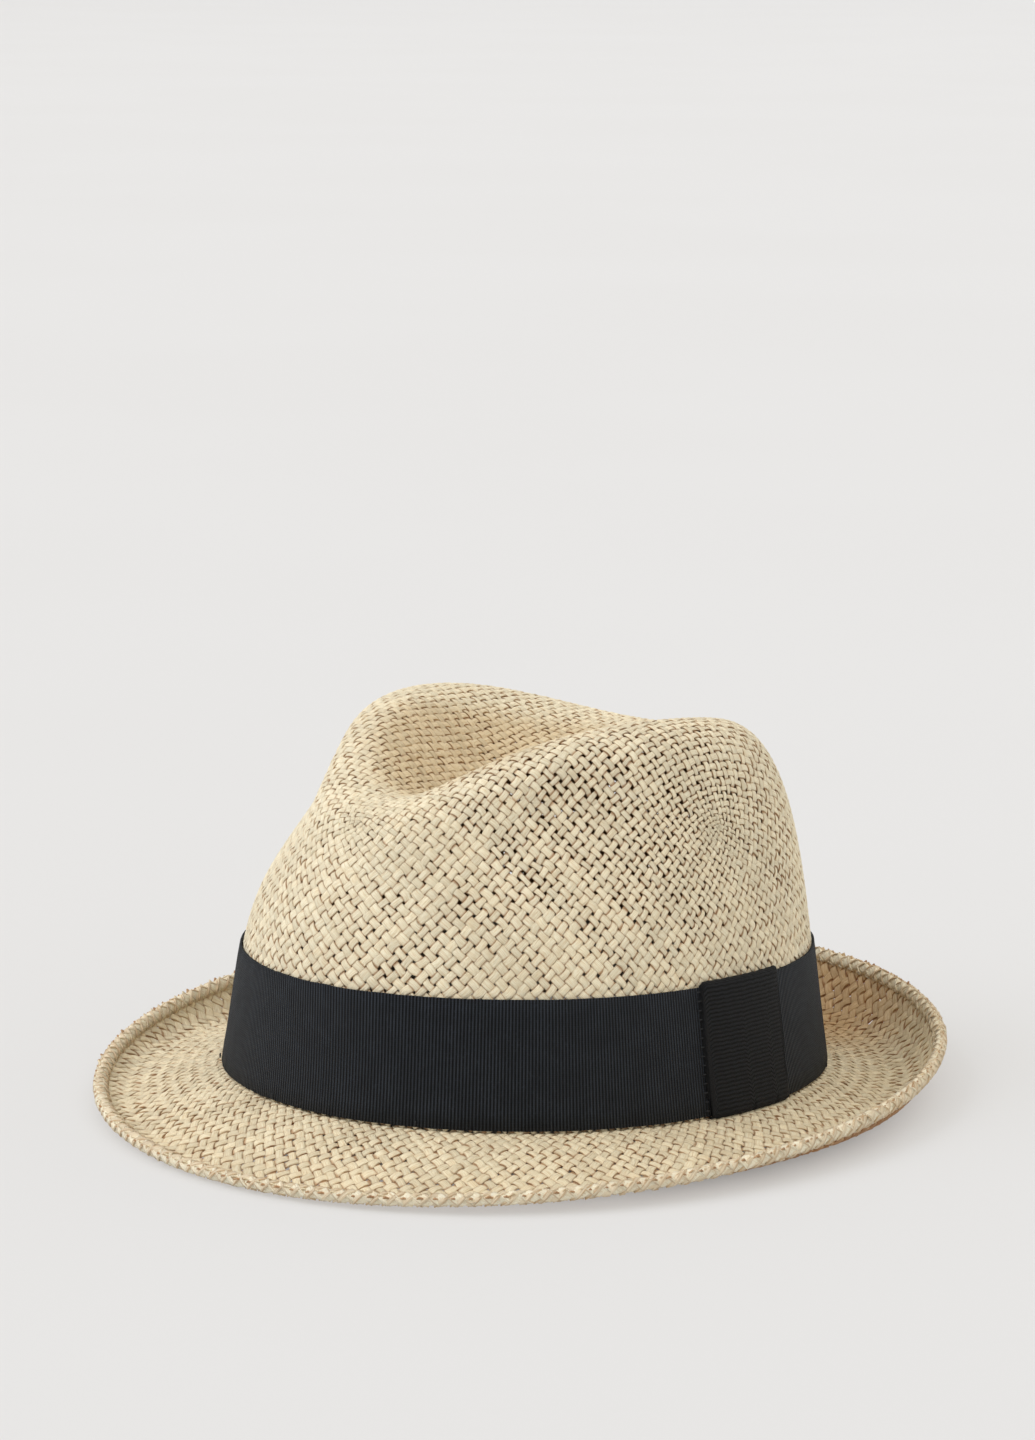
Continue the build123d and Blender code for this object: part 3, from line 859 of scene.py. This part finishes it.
def wind_edge(table, upright, out_way):
    """Straws wound slantwise round the edge of the brim, and a second layer that shows between them."""
    edge = table[:, -1]
    lengths = run_along(edge)
    outward, upward = unit(out_way[:, -4]), upright[:, -4]
    heart = edge - outward * (hem_reach + 0.0002) - upward * (hem_height - 0.0003)
    straps = []
    for lean, grow, width in ((1, 1.0, 0.0039), (-1, 0.88, 0.0042)):
        for straw in range(hem_straws):
            tips = np.radians(np.linspace(196, -170, 15))
            travel = np.linspace(-1, 1, len(tips)) * hem_travel * lean
            travel = travel + (straw + chance.normal(0, 0.06)) / hem_straws * lengths[-1]
            angles = np.interp(travel % lengths[-1], lengths, brim_angles)
            middle, out, up = (at_angles(source, angles) for source in (heart, outward, upward))
            out, up = unit(out), unit(up)
            swell = grow * chance.normal(1, 0.03)
            level, steep = np.cos(tips)[:, None], np.sin(tips)[:, None]
            spots = middle + out * (hem_reach * swell * level) + up * (hem_height * swell * steep)
            stand = unit(out * (level / hem_reach) + up * (steep / hem_height))
            ahead = unit(np.gradient(spots, axis=0))
            aside = unit(np.cross(ahead, stand))
            broad = width * chance.normal(1, 0.05)
            rows = []
            for part in (-1.0, -0.6, 0.0, 0.6, 1.0):
                height = 0.00034 * (0.6 - part * part) + 0.0001 * part * lean
                rows.append(spots + aside * broad * part / 2 + stand * height)
            along = run_along(spots) + chance.uniform(0, 1)
            straps.append((np.stack(rows, 1), along, chance.uniform(), 1.0 if lean > 0 else -0.2))
    piece = strap_piece("brim_edge_winding", straps, edge_straw, straw_thickness)
    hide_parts("straw_brim")
    loose_ends(heart, outward, upward)


def loose_ends(heart, outward, upward):
    """Short cut ends of straw that stick out under the edge of the brim."""
    straps = []
    for end in range(loose_ends_round + loose_ends_left):
        angle = chance.uniform(0, 2 * math.pi) if end < loose_ends_round else chance.uniform(0.9, 2.1)
        middle, out, up = (at_angles(source, angle) for source in (heart, outward, upward))
        along = np.cross(up, out) * chance.choice([-1, 1])
        length = chance.uniform(0.0012, 0.0032)
        way = unit(out * chance.uniform(0.2, 0.7) + along + up * chance.uniform(-0.35, 0.1))
        start = middle + out * hem_reach * 0.75 - up * hem_height * chance.uniform(0.4, 0.95)
        reach = np.linspace(0, length, 4)[:, None]
        line = start + way * reach + up * (reach / length) ** 2 * chance.uniform(-0.0005, 0.0006)
        aside = unit(np.cross(way, up))
        taper = np.linspace(1.0, 0.45, 4)[:, None] * chance.uniform(0.0007, 0.0016)
        bulge = up * 0.0001
        rows = [line + aside * taper * part / 2 + bulge * (1 - part * part) for part in (-1.0, 0.0, 1.0)]
        straps.append((np.stack(rows, 1), reach[:, 0] + chance.uniform(0, 1), chance.uniform(), 0.4))
    piece = strap_piece("brim_loose_ends", straps, edge_straw, loose_end_thickness)
    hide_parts("straw_brim")


# ---------------------------------------------------------------- ribbon, sweatband, tape and label

def face_heights(tree, spot, way, low, high, spacing=0.0002):
    """Where level rays at many heights meet a face: the points, lowest first."""
    found = []
    for height in np.arange(low, high, spacing):
        hit = tree.ray_cast(Vector((spot.x, spot.y, height)), way, 0.12)[0]
        if hit:
            found.append(hit[:])
    return np.array(found)


def hoop_strap(node, from_outside, columns, rows, low, high):
    """The seen face of a hoop, as rows of points for each angle round it."""
    tree = whole_skin(nodes[node])
    heart = Vector((*hat_centre, 0))
    hoop, known = [], []
    for angle in np.linspace(0, 2 * math.pi, columns, endpoint=False):
        way = plan_direction(angle)
        start, aim = (heart + way * 0.16, -way) if from_outside else (heart, way)
        line = face_heights(tree, start, aim, low, high)
        if len(line) > fewest_hits:
            known.append(angle)
            hoop.append(evenly(line, rows))
    angles = np.linspace(0, 2 * math.pi, columns, endpoint=False)
    known = np.array([known[-1] - 2 * math.pi] + known + [known[0] + 2 * math.pi])
    hoop = np.array(hoop[-1:] + hoop + hoop[:1]).reshape(len(known), -1)
    hoop = np.stack([np.interp(angles, known, value) for value in hoop.T], 1).reshape(columns, rows, 3)
    for _ in range(2):
        hoop = (np.roll(hoop, 1, 0) + 2 * hoop + np.roll(hoop, -1, 0)) / 4
    return np.concatenate([hoop, hoop[:1]])


def hoop_facts(hoop):
    """The level way out at each point of a hoop, and the turn at which each of its columns stands."""
    outward = unit(hoop - np.array([*hat_centre, 0])) * np.array([1, 1, 0])
    turn = np.arange(len(hoop)) % (len(hoop) - 1) / (len(hoop) - 1) * 2 * math.pi
    return outward, turn


def tie_ribbon():
    band = hoop_strap("ribbon_band", True, 540, 9, 0.0, 0.06)
    outward, turn = hoop_facts(band)
    ripple = np.sin(turn * 19) * 0.00008 + np.sin(turn * 7 + 1) * 0.0001
    shape = np.linspace(-1, 1, band.shape[1]) ** 2
    band = band + outward * (ripple[:, None] * shape)[..., None]
    band[:, 0, 2] -= 0.0006
    lengths = run_along(band[:, band.shape[1] // 2])
    strap = (band[::-1], lengths, 0.5, 0.5)
    piece = strap_piece("hat_band", [strap], band_ribbon, ribbon_thickness, side=-1.0, close=True)
    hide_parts("ribbon_band")


def fold_keeper():
    tree = whole_skin(nodes["ribbon_keeper"])
    low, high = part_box("ribbon_keeper")
    middle = (low + high) / 2
    way = plan_direction(keeper_angle)
    beside = Vector((way.y, -way.x, 0))
    columns = []
    half = keeper_width / 2 - 0.0002
    for part in np.linspace(half, -half, 33):
        start = Vector((middle.x, middle.y, 0)) + beside * part + way * 0.05
        line = face_heights(tree, start, -way, low.z - 0.001, high.z + 0.001)
        columns.append(evenly(line, 17, 0.0004))
    keeper = np.array(columns)
    inward = -np.array(way)
    fold = ((0.0003, 0.00045), (0.001, 0.0006))
    top_fold = [keeper[:, -1] + inward * deep + np.array([0, 0, up]) for deep, up in fold]
    foot_fold = [keeper[:, 0] + inward * deep - np.array([0, 0, up]) for deep, up in fold[::-1]]
    keeper = np.concatenate([np.stack(foot_fold, 1), keeper, np.stack(top_fold, 1)], 1)
    across = np.linspace(-1, 1, keeper.shape[0])[:, None, None]
    curl = (np.abs(across) ** 8) * 0.00025
    keeper = keeper + inward * curl
    strap = (keeper, np.linspace(0, keeper_width, keeper.shape[0]), 0.5, 0.5)
    piece = strap_piece("band_keeper", [strap], keeper_ribbon, ribbon_thickness, side=-1.0)
    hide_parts("ribbon_keeper")


def line_head_opening():
    hoop = hoop_strap("sweatband", False, 420, 11, 0.0, 0.05)
    outward, turn = hoop_facts(hoop)
    pull = np.cos(turn * sweatband_stitches) * 0.00012
    roll = np.sin(turn * 11) * 0.00025
    height = np.linspace(0, 1, hoop.shape[1])
    hoop = hoop + outward * (pull[:, None] * (1 - height) ** 2 + roll[:, None] * height ** 2)[..., None]
    lengths = run_along(hoop[:, hoop.shape[1] // 2])
    strap = (hoop, lengths, 0.5, 0.5)
    piece = strap_piece("head_sweatband", [strap], sweatband_cotton, sweatband_thickness,
                        side=-1.0, close=True)
    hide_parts("sweatband")


def sew_patch(name, node, columns, rows, finish, thickness):
    """A small piece of cloth sewn flat inside the hat."""
    tree = whole_skin(nodes[node])
    low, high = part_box(node)
    plan = np.array([v.co[:2] for v in nodes[node].data.vertices])
    middle = plan.mean(0)
    beside = np.linalg.svd(plan - middle, full_matrices=False)[2][0]
    way = np.array([beside[1], -beside[0]])
    if way @ (middle - np.array(hat_centre)) < 0:
        way = -way
        beside = -beside
    reach = (plan - middle) @ beside
    lines = []
    for part in np.linspace(reach.min() + 0.0002, reach.max() - 0.0002, columns):
        start = middle + beside * part - way * 0.03
        line = face_heights(tree, Vector((*start, 0)), Vector((*way, 0)), low.z - 0.001, high.z + 0.001)
        lines.append(evenly(line, rows, 0.0001))
    patch = np.array(lines)
    lengths = np.linspace(0, reach.max() - reach.min(), columns)
    piece = strap_piece(name, [(patch[::-1], lengths, 0.5, 0.5)], finish, thickness, side=-1.0)
    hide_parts(node)


# ---------------------------------------------------------------- threads

def sew_threads(name, node, finish):
    """Each stitch as a short spun thread, plump in the middle and drawn in at its ends."""
    source = merged_copy(nodes[node])
    seen = set()
    bm = bmesh.new()
    lay = bm.loops.layers.uv.new("lay")
    for face in source.faces:
        if face in seen:
            continue
        corners = np.array([v.co[:] for f in spread_of_faces(face, seen) for v in f.verts])
        middle = corners.mean(0)
        _, _, axes = np.linalg.svd(corners - middle, full_matrices=False)
        reach = np.abs((corners - middle) @ axes[0]).max()
        girth = np.abs((corners - middle) @ axes[2]).max()
        made = bmesh.ops.create_uvsphere(bm, u_segments=6, v_segments=6, radius=1.0)
        ring_heights = {}
        for vert in made["verts"]:
            along, turn = vert.co.z, math.atan2(vert.co.y, vert.co.x)
            swell = (1 - abs(along) ** 3) ** 0.5 if abs(along) < 1 else 0.0
            side = Vector((math.cos(turn), math.sin(turn))) * girth * swell
            ring_heights[vert] = (along, turn)
            vert.co = Vector(middle + axes[0] * reach * along + axes[1] * side.x + axes[2] * side.y)
        for other in {f for vert in made["verts"] for f in vert.link_faces}:
            for loop in other.loops:
                along, turn = ring_heights[loop.vert]
                loop[lay].uv = (turn / (2 * math.pi) + 0.5, along * reach * 100)
    source.free()
    bmesh.ops.recalc_face_normals(bm, faces=bm.faces)
    mesh = bpy.data.meshes.new(name)
    bm.to_mesh(mesh)
    bm.free()
    piece = placed(name, mesh, finish)
    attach(piece, "root")
    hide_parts(node)


# ---------------------------------------------------------------- studio

def build_studio():
    """A pale floor that sweeps up into a wall all round, the sky, three lamps and the camera."""
    bm = bmesh.new()
    level = [(0.0, 0.0), (2.0, 0.0), (8.0, 0.0), (14.0, 0.0)]
    profile = level + [(15.5, 0.25), (16.5, 1.0), (17.0, 2.5), (17.0, 8.0)]
    chain = [bm.verts.new((x, 0, z)) for x, z in profile]
    edges = [bm.edges.new(pair) for pair in zip(chain, chain[1:])]
    bmesh.ops.spin(bm, geom=chain + edges, cent=(0, 0, 0), axis=(0, 0, 1),
                   angle=math.radians(360), steps=48, use_merge=True)
    bmesh.ops.remove_doubles(bm, verts=bm.verts, dist=1e-5)
    bmesh.ops.recalc_face_normals(bm, faces=bm.faces)
    if sum(f.normal.z for f in bm.faces) < 0:
        bmesh.ops.reverse_faces(bm, faces=bm.faces)
    mesh = bpy.data.meshes.new("studio_floor")
    bm.to_mesh(mesh)
    bm.free()
    floor = placed("studio_floor", mesh, floor_finish())

    world = bpy.data.worlds.new("studio_air")
    bpy.context.scene.world = world
    world.use_nodes = True
    sky = world.node_tree.nodes["Background"]
    sky.inputs["Color"].default_value = (1.0, 0.95, 0.88, 1)
    sky.inputs["Strength"].default_value = 0.9

    turn, tip, roll = math.radians(35.92), math.radians(11.17), math.radians(0.4)
    right = Vector((-math.sin(turn), math.cos(turn), 0))
    back = Vector((math.cos(turn) * math.cos(tip), math.sin(turn) * math.cos(tip), math.sin(tip)))
    target, camera_distance = Vector((0.00039, -0.00269, 0.11421)), 1.3
    level_back = Vector((back.x, back.y, 0)).normalized()
    daylight, warm = (0.97, 1.0, 1.1), (1.0, 0.87, 0.64)
    beside = -right * 1.0 + level_back * 0.3 + Vector((0, 0, 0.75))
    above = level_back * -0.2 + Vector((0, 0, 1.5))
    low = right * 0.9 + level_back * 0.8 + Vector((0, 0, 0.35))
    lamps = (("window", beside, 50.0, 1.5, daylight), ("overhead", above, 75.0, 0.1, daylight),
             ("low_fill", low, 60.0, 0.2, warm))
    for name, offset, spread, power, tint in lamps:
        light = bpy.data.lights.new(name, "SUN")
        light.angle, light.energy, light.color = math.radians(spread), power, tint
        lamp = bpy.data.objects.new(name, light)
        lamp.location = target + offset
        lamp.rotation_euler = offset.to_track_quat("Z", "Y").to_euler()
        bpy.context.scene.collection.objects.link(lamp)

    lens = bpy.data.cameras.new("camera")
    lens.sensor_width = 36.0
    lens.lens = 106.63
    lens.clip_end = 60.0
    camera = bpy.data.objects.new("camera", lens)
    camera.location = target + back * camera_distance
    camera.rotation_euler = (back.to_track_quat("Z", "Y") @ Quaternion((0, 0, 1), roll)).to_euler()
    bpy.context.scene.collection.objects.link(camera)
    bpy.context.scene.camera = camera
    bpy.context.scene.view_settings.view_transform = "Standard"


weave_crown()
weave_brim()
tie_ribbon()
fold_keeper()
line_head_opening()
sew_patch("seam_tape", "joint_tape", 7, 9, tape_cotton, 0.0005)
sew_patch("label_patch", "blank_label", 13, 7, label_satin, 0.0004)
sew_threads("sweatband_sewing", "sweatband_stitches", pale_thread)
sew_threads("band_tack_threads", "band_tacks", dark_thread)
sew_threads("keeper_sewing", "keeper_stitches", dark_thread)
build_studio()
